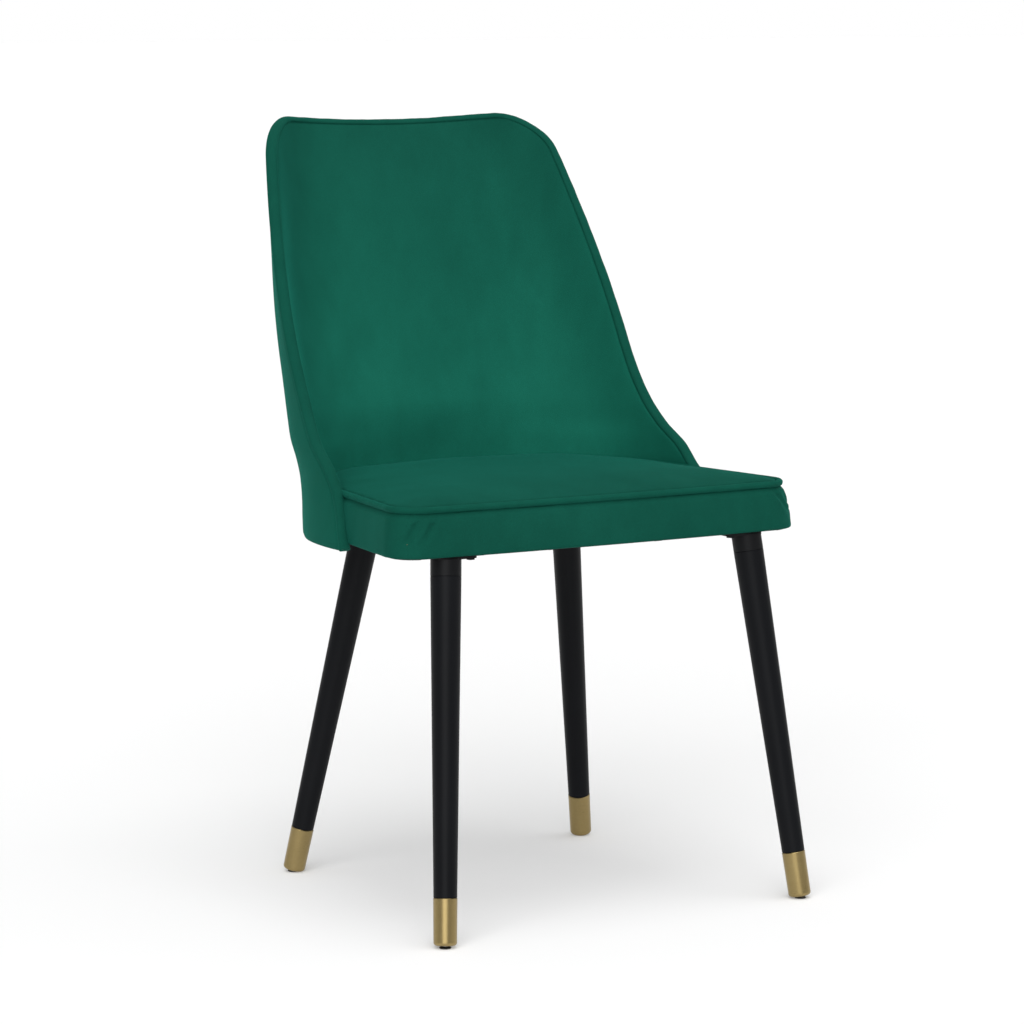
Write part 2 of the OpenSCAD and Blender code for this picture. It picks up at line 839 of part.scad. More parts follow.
module socket(leg) {
  shoulder = shoulder_at(leg);
  cup_floor = cup_floor_at(leg);
  up = leg_top(leg) - leg_foot(leg);
  at = leg_foot(leg) + up * (plate_z + plate_t) / seat_z;
  bore = leg_top_d / 2 - tenon_wall;
  high = shoulder + 3 * socket_drop;
  block = 4 * leg_top_d;
  color(steel_black)
    placed()
      difference() {
        union() {
          translate([at[0], at[1], plate_z])
            linear_extrude(plate_t)
              mirror([leg[0] < 0 ? 1 : 0, 0])
                mirror([0, leg[1] > 0 ? 1 : 0])
                  plate_outline();
          intersection() {
            on_leg(leg)
              hull()
                translate([0, 0, shoulder])
                  cylinder(d = leg_top_d, h = high - shoulder);
            translate([at[0], at[1], plate_z + (plate_t - block) / 2])
              cube(block, center = true);
          }
        }
        on_leg(leg) {
          rotate_extrude()
            polygon([
              [0, shoulder - socket_drop], [bore, shoulder - socket_drop],
              [bore, cup_floor], [leg_screw_d / 2, cup_floor],
              [leg_screw_d / 2, cup_floor + 2 * cup_floor_t], [0, cup_floor + 2 * cup_floor_t]
            ]);
          hull()
            translate([0, 0, cup_floor + cup_floor_t])
              cylinder(r = bore, h = high);
        }
        at_leg_bolts(leg)
          cylinder(d = bolt_d, h = 6 * plate_t, center = true);
      }
}

module socket_bolts() {
  color(zinc)
    placed()
      at_socket_bolts() {
        translate([0, 0, -bolt_head_h])
          cylinder(d = bolt_head_d, h = bolt_head_h, $fn = 6);
        cylinder(d = bolt_d, h = bolt_l - bolt_spare);
      }
}

module socket_tee_nuts() {
  color(zinc)
    placed()
      at_socket_bolts()
        translate([0, 0, bolt_l - base_t])
          difference() {
            union() {
              translate([0, 0, tee_rise])
                cylinder(d = tee_barrel_d, h = base_t - tee_rise + touch);
              translate([0, 0, base_t + touch])
                cylinder(d = tee_flange_d, h = tee_flange_t);
            }
            translate([0, 0, -1])
              cylinder(d = bolt_d, h = 2 * base_t);
          }
}

module leg_screws() {
  color(zinc)
    placed()
      for (leg = legs)
        on_leg(leg) {
          translate([0, 0, cup_floor_at(leg) + cup_floor_t])
            cylinder(d = leg_screw_head_d, h = leg_screw_head_h);
          translate([0, 0, cup_floor_at(leg) - fit_gap + cup_floor_t - leg_screw_l + 1])
            cylinder(d = leg_screw_d, h = leg_screw_l + fit_gap - 1);
        }
}

seat_base();
seat_foam();
seat_top_cover();
seat_boxing();
seat_piping();
dust_cover();
dust_cover_staples();
back_shell();
back_foam();
back_wadding();
inside_back_cover();
outside_back_cover();
back_edge_roll();
back_brackets();
back_bracket_screws();
leg(legs[0]);  // leg_front_left
leg(legs[1]);  // leg_front_right
leg(legs[2]);  // leg_rear_left
leg(legs[3]);  // leg_rear_right
socket(legs[0]);  // socket_front_left
socket(legs[1]);  // socket_front_right
socket(legs[2]);  // socket_rear_left
socket(legs[3]);  // socket_rear_right
ferrule(legs[0]);  // ferrule_front_left
ferrule(legs[1]);  // ferrule_front_right
ferrule(legs[2]);  // ferrule_rear_left
ferrule(legs[3]);  // ferrule_rear_right
glide(legs[0]);  // glide_front_left
glide(legs[1]);  // glide_front_right
glide(legs[2]);  // glide_rear_left
glide(legs[3]);  // glide_rear_right
glide_nails();
socket_bolts();
socket_tee_nuts();
leg_screws();
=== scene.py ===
import math

import bpy
import numpy as np
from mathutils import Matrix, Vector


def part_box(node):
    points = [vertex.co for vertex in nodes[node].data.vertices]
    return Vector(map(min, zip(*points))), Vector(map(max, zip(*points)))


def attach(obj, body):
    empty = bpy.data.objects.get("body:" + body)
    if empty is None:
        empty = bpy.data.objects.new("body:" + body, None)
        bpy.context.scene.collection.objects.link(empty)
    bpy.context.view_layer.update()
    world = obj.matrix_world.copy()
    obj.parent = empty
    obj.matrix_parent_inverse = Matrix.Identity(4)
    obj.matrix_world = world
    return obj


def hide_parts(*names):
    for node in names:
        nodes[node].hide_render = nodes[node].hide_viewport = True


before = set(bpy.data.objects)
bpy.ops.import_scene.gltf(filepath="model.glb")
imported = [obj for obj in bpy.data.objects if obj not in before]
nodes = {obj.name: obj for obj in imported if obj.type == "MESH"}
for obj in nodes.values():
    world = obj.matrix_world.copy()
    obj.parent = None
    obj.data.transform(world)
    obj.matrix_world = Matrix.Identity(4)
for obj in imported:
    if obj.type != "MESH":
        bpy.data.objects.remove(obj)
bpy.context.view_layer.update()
print("frame loaded:", len(nodes), "nodes")

# The datum line lies midway between the front and rear feet, and every
# shape below is worked out from it, in metres
footNames = ("glide_front_left", "glide_rear_left")
footMiddles = [sum(corner.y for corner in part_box(name)) / 2 for name in footNames]
datumY = sum(footMiddles) / 2


def ease(low, high, value):
    # smooth step: 3u^2 - 2u^3 of the clipped share between low and high
    u = np.clip((value - low) / (high - low), 0, 1)
    return u * u * (3 - 2 * u)


def unit(vectors):
    # each vector over its own length
    return vectors / np.linalg.norm(vectors, axis=-1, keepdims=True)


def gridFaces(rows, cols, wrapRows=False, wrapCols=False, start=0):
    # quads between neighbouring points of a rows x cols grid
    i = np.arange(rows if wrapRows else rows - 1)[:, None]
    j = np.arange(cols if wrapCols else cols - 1)[None, :]
    iNext, jNext = (i + 1) % rows, (j + 1) % cols
    corners = [i * cols + j, i * cols + jNext, iNext * cols + jNext, iNext * cols + j]
    corners = [np.broadcast_to(c, (i.size, j.size)) for c in corners]
    return np.stack(corners, -1).reshape(-1, 4) + start


def fanFaces(ring, pole, flip=False):
    # triangles from a closed ring of point numbers to one pole
    turned = np.roll(ring, -1)
    sides = (turned, ring) if flip else (ring, turned)
    return np.column_stack([sides[0], sides[1], np.full(len(ring), pole)])


def signedVolume(points, faces):
    # sum of a . (b x c) / 6 over triangles, so it is negative inside out
    total = 0.0
    for face in faces:
        for k in range(1, face.shape[1] - 1):
            a, b, c = points[face[:, 0]], points[face[:, k]], points[face[:, k + 1]]
            total += np.einsum("ij,ij->i", a, np.cross(b, c)).sum() / 6
    return total


def makePiece(name, points, faces, material, sharp=None):
    # faces is a list of arrays, each with its own number of corners
    points = points.reshape(-1, 3) + (0, datumY, 0)
    if signedVolume(points, faces) < 0:
        faces = [face[:, ::-1] for face in faces]
    loops = np.concatenate([face.ravel() for face in faces])
    sizes = np.concatenate([np.full(len(face), face.shape[1]) for face in faces])
    mesh = bpy.data.meshes.new(name)
    mesh.vertices.add(len(points))
    mesh.vertices.foreach_set("co", points.ravel())
    mesh.loops.add(len(loops))
    mesh.loops.foreach_set("vertex_index", loops.astype(np.int32))
    mesh.polygons.add(len(sizes))
    starts = np.r_[0, np.cumsum(sizes)[:-1]]
    mesh.polygons.foreach_set("loop_start", starts.astype(np.int32))
    mesh.update(calc_edges=True)
    mesh.validate()
    mesh.polygons.foreach_set("use_smooth", np.ones(len(sizes), bool))
    if sharp:
        mesh.set_sharp_from_angle(angle=math.radians(sharp))
    piece = bpy.data.objects.new(name, mesh)
    bpy.context.scene.collection.objects.link(piece)
    piece.data.materials.append(material)
    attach(piece, "root")
    return piece


def ripple(points, lengths, heights):
    # a few crossed sine waves, each length (metres) with its own height
    x, y, z = points[..., 0], points[..., 1], points[..., 2]
    total = 0
    for k, (length, height) in enumerate(zip(lengths, heights)):
        turn = 1.1 + 2.3 * k
        along = x * math.cos(turn) + y * math.sin(turn) + z * math.cos(2.2 * turn)
        across = z * math.sin(turn) - x * math.sin(1.7 * turn) + y * math.cos(turn)
        wave = 2 * math.pi / length
        total = total + height * np.sin(wave * along + turn) * np.sin(wave * across + k)
    return total


class Wire:
    # One value among the nodes, whose sums and products add Math nodes
    def __init__(self, tree, socket):
        self.tree = tree
        self.socket = socket

    def sum(self, operation, first, second):
        return self.tree.node(
            "ShaderNodeMath", {"operation": operation}, {0: first, 1: second}
        )

    def __add__(self, other):
        return self.sum("ADD", self, other)

    def __radd__(self, other):
        return self.sum("ADD", other, self)

    def __sub__(self, other):
        return self.sum("SUBTRACT", self, other)

    def __rsub__(self, other):
        return self.sum("SUBTRACT", other, self)

    def __mul__(self, other):
        return self.sum("MULTIPLY", self, other)

    def __rmul__(self, other):
        return self.sum("MULTIPLY", other, self)

    def __pow__(self, other):
        return self.sum("POWER", self, other)

    def __rpow__(self, other):
        return self.sum("POWER", other, self)


class NodeTree:
    # The nodes and links of a material or of the sky
    def __init__(self, tree):
        self.steps = tree.nodes
        self.links = tree.links

    def node(self, kind, settings, inputs, output=0):
        # settings first, then the values or links of the sockets
        step = self.steps.new(kind)
        for key, value in settings.items():
            if key == "stops":
                ramp = step.color_ramp
                while len(ramp.elements) < len(value):
                    ramp.elements.new(0.5)
                for element, (place, colour) in zip(ramp.elements, value):
                    element.position = place
                    element.color = (*colour, 1)
            else:
                setattr(step, key, value)
        for key, value in inputs.items():
            self.join(value, step.inputs[key])
        return Wire(self, step.outputs[output])

    def join(self, value, socket):
        if isinstance(value, Wire):
            self.links.new(value.socket, socket)
        elif socket.type == "RGBA" and len(value) == 3:
            socket.default_value = (*value, 1)
        else:
            socket.default_value = value


class Finish(NodeTree):
    # A material, whose patterns read the piece's Object coordinates
    def __init__(self, name, **settings):
        self.material = bpy.data.materials.new(name)
        self.material.use_nodes = True
        super().__init__(self.material.node_tree)
        self.shader = self.steps["Principled BSDF"]
        self.coords = self.node("ShaderNodeTexCoord", {}, {}, "Object")
        for socket, value in settings.items():
            self.put(socket, value)

    def put(self, socket, value):
        self.join(value, self.shader.inputs[socket.replace("_", " ")])

    def place(self, axis):
        return self.node("ShaderNodeSeparateXYZ", {}, {0: self.coords}, axis)

    def noise(self, scale, detail, roughness=0.5, stretch=(1, 1, 1)):
        spot = self.node(
            "ShaderNodeMapping", {}, {"Vector": self.coords, "Scale": stretch}
        )
        inputs = {
            "Vector": spot, "Scale": scale, "Detail": detail, "Roughness": roughness
        }
        return self.node("ShaderNodeTexNoise", {}, inputs, "Fac")

    def blendColours(self, share, first, second):
        inputs = {"Factor": share, 6: first, 7: second}
        return self.node("ShaderNodeMix", {"data_type": "RGBA"}, inputs, 2)

    def bump(self, height, distance, strength):
        inputs = {"Height": height, "Distance": distance, "Strength": strength}
        self.put("Normal", self.node("ShaderNodeBump", {}, inputs, "Normal"))


# In each finish below, a scale is a noise's scale, a swing is how far the
# noise moves a value, and a depth is the Bump distance in metres
velvetCloth = dict(
    deep=(0.0030, 0.054, 0.0365), mid=(0.0047, 0.078, 0.0525),
    light=(0.0076, 0.108, 0.0745), sheenTint=(0.06, 0.80, 0.60), sheen=0.16,
    sheenRoughness=0.38, shine=0.03, leanScale=5.5, leanSwing=0.75,
    strokeScale=38.0, strokeSwing=0.35, grainScale=1400.0, grainSwing=0.9,
    fibreScale=2600.0, roughness=0.80, roughSwing=0.2, depth=0.0006,
)


def makeVelvet(name, paintedShadeTone=1.0, patches=1.0, low=None, high=None):
    # soft patches where the pile leans, over a fine grain of fibres, times the tone, which
    # is painted shade on each piece's copy of the same cloth. low and high are (height,
    # tone) pairs of painted light and shade, the tone going from one to the other with
    # height
    n = velvetCloth
    paint = Finish(
        name,
        Sheen_Weight=n["sheen"],
        Sheen_Roughness=n["sheenRoughness"],
        Sheen_Tint=n["sheenTint"],
        Specular_IOR_Level=n["shine"],
    )
    lean = paint.noise(n["leanScale"], 3.0, 0.55, (1, 1, 0.7))
    stroke = paint.noise(n["strokeScale"], 2.0, 0.6, (1, 1, 0.45))
    grain = paint.noise(n["grainScale"], 1.0)
    fibre = paint.noise(n["fibreScale"], 1.0, 0.6, (1, 1, 0.35))
    share = (
        (lean - 0.5) * (n["leanSwing"] * patches)
        + (stroke - 0.5) * n["strokeSwing"]
        + (grain - 0.5) * n["grainSwing"]
    )
    stops = [(0.0, n["deep"]), (0.5, n["mid"]), (1.0, n["light"])]
    shade = paint.node(
        "ShaderNodeValToRGB", {"stops": stops}, {"Fac": share + 0.5}, "Color"
    )
    # painted shade: the tone dims this piece's copy of the cloth
    paintedLightScale = (paintedShadeTone, paintedShadeTone, paintedShadeTone)
    # painted light and shade by height, the tone going from low's to high's up the panel
    if low:
        inputs = {
            "Value": paint.place("Z"), "From Min": low[0], "From Max": high[0],
            "To Min": low[1], "To Max": high[1],
        }
        paintedLightByHeight = paint.node("ShaderNodeMapRange", {}, inputs)
        paintedLightScale = paint.node(
            "ShaderNodeCombineXYZ", {}, {"X": paintedLightByHeight, "Y": paintedLightByHeight, "Z": paintedLightByHeight}
        )
    shade = paint.node(
        "ShaderNodeMix", {"data_type": "RGBA", "blend_type": "MULTIPLY"},
        {"Factor": 1.0, 6: shade, 7: paintedLightScale}, 2
    )
    paint.put("Base Color", shade)
    paint.put("Roughness", n["roughness"] + (grain - 0.5) * n["roughSwing"])
    paint.bump(grain * 0.6 + fibre * 0.4, n["depth"], 0.55)
    return paint.material


blackLacquer = dict(
    dark=(0.0030, 0.0032, 0.0040), pale=(0.0066, 0.0072, 0.0088), shine=0.07,
    coat=0.035, coatSwing=0.02, coatRoughness=0.28, roughness=0.42,
    cloudSwing=0.12, poreSwing=0.08, grainScale=60.0, poreScale=420.0,
    cloudScale=9.0, depth=0.00012,
)


def makeLacquer(name):
    # black satin lacquer over wood, with the grain just telegraphing through
    n = blackLacquer
    paint = Finish(name, Specular_IOR_Level=n["shine"], Coat_Roughness=n["coatRoughness"])
    grain = paint.noise(n["grainScale"], 4.0, 0.6, (1, 1, 0.05))
    pores = paint.noise(n["poreScale"], 2.0, 0.5, (1, 1, 0.06))
    cloud = paint.noise(n["cloudScale"], 2.0)
    share = grain * 0.6 + cloud * 0.4
    paint.put("Base Color", paint.blendColours(share, n["dark"], n["pale"]))
    rough = n["roughness"] + (cloud - 0.5) * n["cloudSwing"] + (pores - 0.5) * n["poreSwing"]
    paint.put("Roughness", rough)
    paint.put("Coat Weight", n["coat"] + (cloud - 0.5) * n["coatSwing"])
    paint.bump(grain * 0.5 + pores * 0.5, n["depth"], 0.5)
    return paint.material


satinBrass = dict(
    dark=(0.255, 0.188, 0.078), pale=(0.375, 0.287, 0.130), wearSwing=0.3,
    roughness=0.30, lineSwing=0.14, cloudSwing=0.1, lineScale=160.0,
    cloudScale=24.0, wearScale=300.0, depth=0.00006,
)


def makeBrass(name):
    # satin brass, turned, so the fine lines run round the ferrule
    n = satinBrass
    paint = Finish(name)
    lines = paint.noise(n["lineScale"], 3.0, 0.7, (0.35, 0.35, 22))
    cloud = paint.noise(n["cloudScale"], 2.0)
    wear = paint.noise(n["wearScale"], 2.0, 0.6)
    share = lines * 0.35 + cloud * 0.4 + wear * 0.25
    paint.put("Base Color", paint.blendColours(share, n["dark"], n["pale"]))
    paint.put("Metallic", 1.0 - (wear ** 6.0) * n["wearSwing"])
    rough = n["roughness"] + (lines - 0.5) * n["lineSwing"] + (cloud - 0.5) * n["cloudSwing"]
    paint.put("Roughness", rough)
    paint.bump(lines, n["depth"], 0.45)
    return paint.material


powderCoat = dict(
    dark=(0.0034, 0.0036, 0.0042), pale=(0.0075, 0.0078, 0.0088), shine=0.10,
    roughness=0.40, peelSwing=0.16, peelScale=900.0, cloudScale=30.0, depth=0.00015,
)


def makeBlackSteel(name):
    # powder coat with a fine orange-peel texture
    n = powderCoat
    paint = Finish(name, Specular_IOR_Level=n["shine"])
    peel = paint.noise(n["peelScale"], 1.0)
    cloud = paint.noise(n["cloudScale"], 2.0)
    paint.put("Base Color", paint.blendColours(cloud, n["dark"], n["pale"]))
    paint.put("Roughness", n["roughness"] + (peel - 0.5) * n["peelSwing"])
    paint.bump(peel, n["depth"], 0.5)
    return paint.material


zincPlate = dict(
    blue=(0.46, 0.47, 0.50), yellow=(0.62, 0.61, 0.56), dullSwing=0.2,
    roughness=0.36, scratchSwing=0.25, patchScale=220.0, scratchScale=700.0,
    depth=0.00005,
)


def makeZinc(name):
    # zinc plate: pale, slightly blue and yellow patches, light scratches
    n = zincPlate
    paint = Finish(name)
    patches = paint.noise(n["patchScale"], 3.0, 0.6)
    scratches = paint.noise(n["scratchScale"], 2.0, 0.7, (1, 0.08, 1))
    paint.put("Base Color", paint.blendColours(patches, n["blue"], n["yellow"]))
    paint.put("Metallic", 1.0 - (patches ** 5.0) * n["dullSwing"])
    paint.put("Roughness", n["roughness"] + (scratches - 0.5) * n["scratchSwing"])
    paint.bump(scratches, n["depth"], 0.4)
    return paint.material


birchPly = dict(
    dark=(0.40, 0.26, 0.13), pale=(0.66, 0.48, 0.28), glue=(0.20, 0.11, 0.05),
    layerTurns=4488.0,  # radians per metre of height: one layer in 1.4 mm
    glueFrom=0.86, glueShare=0.45, shine=0.3, roughness=0.62, grainSwing=0.2,
    grainScale=34.0, fleckScale=500.0, depth=0.0002,
)


def makePly(name):
    # birch plywood: grain along the face, darker glue lines through the edge
    n = birchPly
    paint = Finish(name, Specular_IOR_Level=n["shine"])
    grain = paint.noise(n["grainScale"], 5.0, 0.6, (0.12, 1, 1))
    flecks = paint.noise(n["fleckScale"], 2.0, 0.5, (0.1, 1, 1))
    layers = paint.place("Z") * n["layerTurns"]
    turns = paint.node("ShaderNodeMath", {"operation": "SINE"}, {0: layers})
    glue = paint.node(
        "ShaderNodeMath", {"operation": "GREATER_THAN"}, {0: turns, 1: n["glueFrom"]}
    )
    face = paint.blendColours(grain * 0.7 + flecks * 0.3, n["dark"], n["pale"])
    paint.put("Base Color", paint.blendColours(glue * n["glueShare"], face, n["glue"]))
    paint.put("Roughness", n["roughness"] + (grain - 0.5) * n["grainSwing"])
    paint.bump(grain * 0.6 + flecks * 0.4, n["depth"], 0.4)
    return paint.material


openCells = dict(shine=0.15, roughness=0.88, cloudSwing=0.1, cloudScale=12.0, depth=0.0005)


def makeFoam(name, low, high, cell):
    # open cells as small dark pits
    n = openCells
    paint = Finish(name, Specular_IOR_Level=n["shine"])
    cells = paint.node(
        "ShaderNodeTexVoronoi", {}, {"Vector": paint.coords, "Scale": cell}, "Distance"
    )
    cloud = paint.noise(n["cloudScale"], 2.0)
    paint.put("Base Color", paint.blendColours(cells * 0.7 + cloud * 0.3, low, high))
    paint.put("Roughness", n["roughness"] + (cloud - 0.5) * n["cloudSwing"])
    paint.bump(cells, n["depth"], 0.6)
    return paint.material


pressedCloth = dict(
    dark=(0.008, 0.008, 0.008), pale=(0.030, 0.030, 0.031), shine=0.2, sheen=0.12,
    dimpleTurns=3140.0,  # radians per metre along a diagonal
    roughness=0.82, fibreSwing=0.2, fibreScale=900.0, depth=0.0003,
)


def makeDustCloth(name):
    # thin pressed black cloth, dimpled by the product of two crossed sines
    n = pressedCloth
    paint = Finish(name, Specular_IOR_Level=n["shine"], Sheen_Weight=n["sheen"])
    apart, along = paint.place("X"), paint.place("Y")
    waves = [
        paint.node("ShaderNodeMath", {"operation": "SINE"}, {0: place * n["dimpleTurns"]})
        for place in (apart + along, apart - along)
    ]
    fibres = paint.noise(n["fibreScale"], 3.0, 0.7)
    pressed = waves[0] * waves[1] * 0.5 + 0.5
    share = fibres * 0.6 + pressed * 0.4
    paint.put("Base Color", paint.blendColours(share, n["dark"], n["pale"]))
    paint.put("Roughness", n["roughness"] + (fibres - 0.5) * n["fibreSwing"])
    paint.bump(pressed * 0.6 + fibres * 0.4, n["depth"], 0.5)
    return paint.material


blackNylon = dict(
    dark=(0.010, 0.010, 0.010), scuffed=(0.060, 0.060, 0.058), shine=0.4,
    roughness=0.48, scuffSwing=0.3, scuffScale=260.0, depth=0.0001,
)


def makeNylon(name):
    # black moulded plastic, scuffed a little paler where it rubs
    n = blackNylon
    paint = Finish(name, Specular_IOR_Level=n["shine"])
    scuff = paint.noise(n["scuffScale"], 3.0, 0.7)
    paint.put("Base Color", paint.blendColours(scuff ** 2.0, n["dark"], n["scuffed"]))
    paint.put("Roughness", n["roughness"] + (scuff - 0.5) * n["scuffSwing"])
    paint.bump(scuff, n["depth"], 0.4)
    return paint.material


# each piece's tone is painted shade, dimming its copy of the same velvet
velvetSeat = makeVelvet("velvetSeat", 0.72)
velvetBoxing = makeVelvet("velvetBoxing", 0.77)
# the back's tone by height is painted light low on the panel and painted shade towards the
# top
velvetBack = makeVelvet("velvetBack", low=(0.46, 1.55), high=(0.86, 0.82))
velvetSeam = makeVelvet("velvetSeam", 0.80, 0.6)
velvetRear = makeVelvet("velvetRear", 0.92, 0.9)
lacquer = makeLacquer("blackLacquer")
brass = makeBrass("satinBrass")
blackSteel = makeBlackSteel("blackSteel")
zinc = makeZinc("zincSteel")
ply = makePly("birchPly")
foamCream = makeFoam("foamCream", (0.62, 0.53, 0.34), (0.86, 0.80, 0.62), 900.0)
waddingWhite = makeFoam("waddingWhite", (0.70, 0.70, 0.68), (0.90, 0.90, 0.88), 500.0)
dustCloth = makeDustCloth("dustCloth")
nylon = makeNylon("nylon")
print("materials made")

nodeFinishes = dict(
    leg_front=lacquer, leg_rear=lacquer, leg_screws=zinc, socket_front=blackSteel,
    socket_rear=blackSteel, socket_bolts=blackSteel, socket_tee_nuts=zinc, ferrule=brass,
    glide_front=nylon, glide_rear=nylon, glide_nails=zinc, seat_base=ply,
    seat_foam=foamCream, back_shell=ply, back_foam=foamCream,
    back_wadding=waddingWhite, seat_top_cover=velvetSeat, seat_boxing=velvetBoxing,
    seat_piping=velvetSeam, inside_back_cover=velvetBack, outside_back_cover=velvetRear,
    back_edge_roll=velvetSeam, dust_cover=dustCloth, dust_cover_staples=zinc,
    back_brackets=zinc, back_bracket_screws=zinc,
)
for name, obj in nodes.items():
    finish = next(nodeFinishes[key] for key in nodeFinishes if name.startswith(key))
    if not obj.material_slots:
        obj.data.materials.append(finish)
    for slot in obj.material_slots:
        slot.material = finish


back = dict(
    seatZ=0.414, lowZ=0.408, topZ=0.865, waistWidth=0.438, topWidth=0.358,
    cornerRadius=0.040, topSag=0.006, depth=0.220, recline=13.8, edgeRecline=26.5,
    edgeLine=0.057, wingReach=0.075, wingFlare=0.030, wingHeight=0.190, waistDrop=0.005,
    topTurn=43.0, seatTurn=91.6, turnFrom=0.465, narrowing=1.65, turnPower=0.72,
    centreHandle=0.60, edgeHandle=0.48, foamSwell=0.020, foamFrom=0.451,
    foamRise=0.090, foamThin=0.5, foamFade=0.060, gather=1.6, frontFace=-0.0052,
    shellFront=-0.0022, shellRear=0.0048, rearFace=0.0075,
)
back["waist"] = back["seatZ"] + back["wingHeight"] - back["waistDrop"]
back["shoulder"] = back["topZ"] - back["cornerRadius"]

# Wing outline: height as a share of its full height, reach and flare as shares
wingRows = np.array([
    [-0.03, 1.00, 1.00], [0.07, 0.95, 0.85], [0.18, 0.91, 0.68],
    [0.285, 0.785, 0.50], [0.395, 0.63, 0.44], [0.51, 0.32, 0.31],
    [0.63, 0.155, 0.17], [0.79, 0.05, 0.06], [1.00, 0.0, 0.0],
])


def wingShare(z, column):
    # Hermite curve through the rows, each slope taken across its neighbours
    x, y = wingRows[:, 0], wingRows[:, column]
    last = len(x) - 1
    before = np.clip(np.arange(last + 1) - 1, 0, last)
    after = np.clip(np.arange(last + 1) + 1, 0, last)
    slopes = (y[after] - y[before]) / (x[after] - x[before])
    u = np.clip((z - back["seatZ"]) / back["wingHeight"], x[0], x[-1])
    i = np.clip(np.searchsorted(x, u, side="right") - 1, 0, last - 1)
    h = x[i + 1] - x[i]
    t = (u - x[i]) / h
    starts = (2 * t**3 - 3 * t**2 + 1) * y[i] + (t**3 - 2 * t**2 + t) * h * slopes[i]
    ends = (3 * t**2 - 2 * t**3) * y[i + 1] + (t**3 - t**2) * h * slopes[i + 1]
    return starts + ends


def edgeX(z):
    # half width at the seam: the waist, flared by the wing, narrowed to the top
    up = np.maximum(z - back["waist"], 0) / (back["topZ"] - back["waist"])
    narrow = (back["waistWidth"] - back["topWidth"]) / 2 * up ** back["narrowing"]
    return back["waistWidth"] / 2 + back["wingFlare"] * wingShare(z, 2) - narrow


def edgeY(z):
    # the leaning line of the edges, brought forward by the wing
    rise = (z - back["seatZ"]) * math.tan(math.radians(back["edgeRecline"]))
    return back["edgeLine"] + rise - back["wingReach"] * wingShare(z, 1)


def centreY(z):
    # the middle of the back, leaning straight back from the seat
    return back["depth"] + (z - back["seatZ"]) * math.tan(math.radians(back["recline"]))


def levelCurve(z, t):
    # cubic Bezier from the middle of the back to its edge at one level, and
    # the curve's direction
    w, y0, y1 = edgeX(z), centreY(z), edgeY(z)
    down = np.clip((back["topZ"] - z) / (back["topZ"] - back["turnFrom"]), 0, 1)
    spread = back["seatTurn"] - back["topTurn"]
    turn = np.radians(back["topTurn"] + spread * down ** back["turnPower"])
    reach = back["edgeHandle"] * np.hypot(w, y0 - y1)
    x1, x2 = back["centreHandle"] * w, w - reach * np.cos(turn)
    y2 = y1 + reach * np.sin(turn)
    s = 1 - t
    x = 3 * s * s * t * x1 + 3 * s * t * t * x2 + t**3 * w
    y = (s**3 + 3 * s * s * t) * y0 + 3 * s * t * t * y2 + t**3 * y1
    dx = s * s * x1 + 2 * s * t * (x2 - x1) + t * t * (w - x2)
    dy = 2 * s * t * (y2 - y0) + t * t * (y1 - y2)
    size = np.hypot(dx, dy)
    return x, y, dx / size, dy / size


def rimShare(z):
    # how far along the level curve the rounded top corner cuts it, by halving
    r = back["cornerRadius"]
    up = np.clip(z - back["shoulder"], 0, r)
    target = edgeX(z) - r + np.sqrt(r * r - up * up)
    low, high = np.zeros_like(z), np.ones_like(z)
    for _ in range(26):
        mid = (low + high) / 2
        short = levelCurve(z, mid)[0] < target
        low, high = np.where(short, mid, low), np.where(short, high, mid)
    return np.where(z <= back["shoulder"], 1.0, (low + high) / 2)


def rimWidthAtTop():
    # half the top edge, from the middle to where the rounded corner starts
    return float(edgeX(np.array(back["topZ"])) - back["cornerRadius"])


def backPoint(z, v, off):
    # point at level z, v of the way to the edges, moved level by off, rear
    # positive, with the top edge's sag
    z, v, off = np.broadcast_arrays(
        np.asarray(z, float), np.asarray(v, float), np.asarray(off, float)
    )
    x, y, dx, dy = levelCurve(z, np.abs(v) * rimShare(z))
    side = np.where(v < 0, -1.0, 1.0)
    up = np.maximum(z - back["waist"], 0) / (back["topZ"] - back["waist"])
    sag = back["topSag"] * up**2 * (1 - np.minimum(x / rimWidthAtTop(), 1) ** 2)
    return np.stack([side * (x - off * dy), y + off * dx, z - sag], -1)


def foamExtra(z, v):
    # the foam's swell: rises from the seat, halves by the top, dies at the rim
    rise = ease(back["foamFrom"], back["foamFrom"] + back["foamRise"], z)
    thin = 1 - back["foamThin"] * ease(back["waist"], back["topZ"], z)
    fade = ease(back["shoulder"] - back["foamFade"], back["topZ"], z)
    die = np.sqrt(np.maximum(1 - fade, 0))
    return back["foamSwell"] * rise * thin * die * (1 - np.abs(v) ** 3)


def backLevels(low, steps, cornerSteps):
    # level heights: evenly up to the shoulder, then by sines round the corner
    lower = np.linspace(low, back["shoulder"], steps, endpoint=False)
    upper = np.linspace(0, math.pi / 2, cornerSteps + 1)
    return np.r_[lower, back["shoulder"] + back["cornerRadius"] * np.sin(upper)]


def backColumns(count):
    # shares across, closer together towards both edges: 1 - (1 - |u|)^gather
    u = np.linspace(-1, 1, 2 * count + 1)
    return np.sign(u) * (1 - (1 - np.abs(u)) ** back["gather"])


def rimDistance(points):
    # arc length along each level to the nearer side edge, joined smoothly
    # with the height left to the top: (a^-3 + b^-3)^(-1/3)
    steps = np.linalg.norm(np.diff(points, axis=1), axis=-1)
    run = np.concatenate([np.zeros((len(points), 1)), np.cumsum(steps, 1)], 1)
    side = np.minimum(run, run[:, -1:] - run) + 1e-6
    top = np.maximum(points[-1, :, 2][None, :] - points[..., 2], 0) + 1e-6
    return (side**-3 + top**-3) ** (-1 / 3)


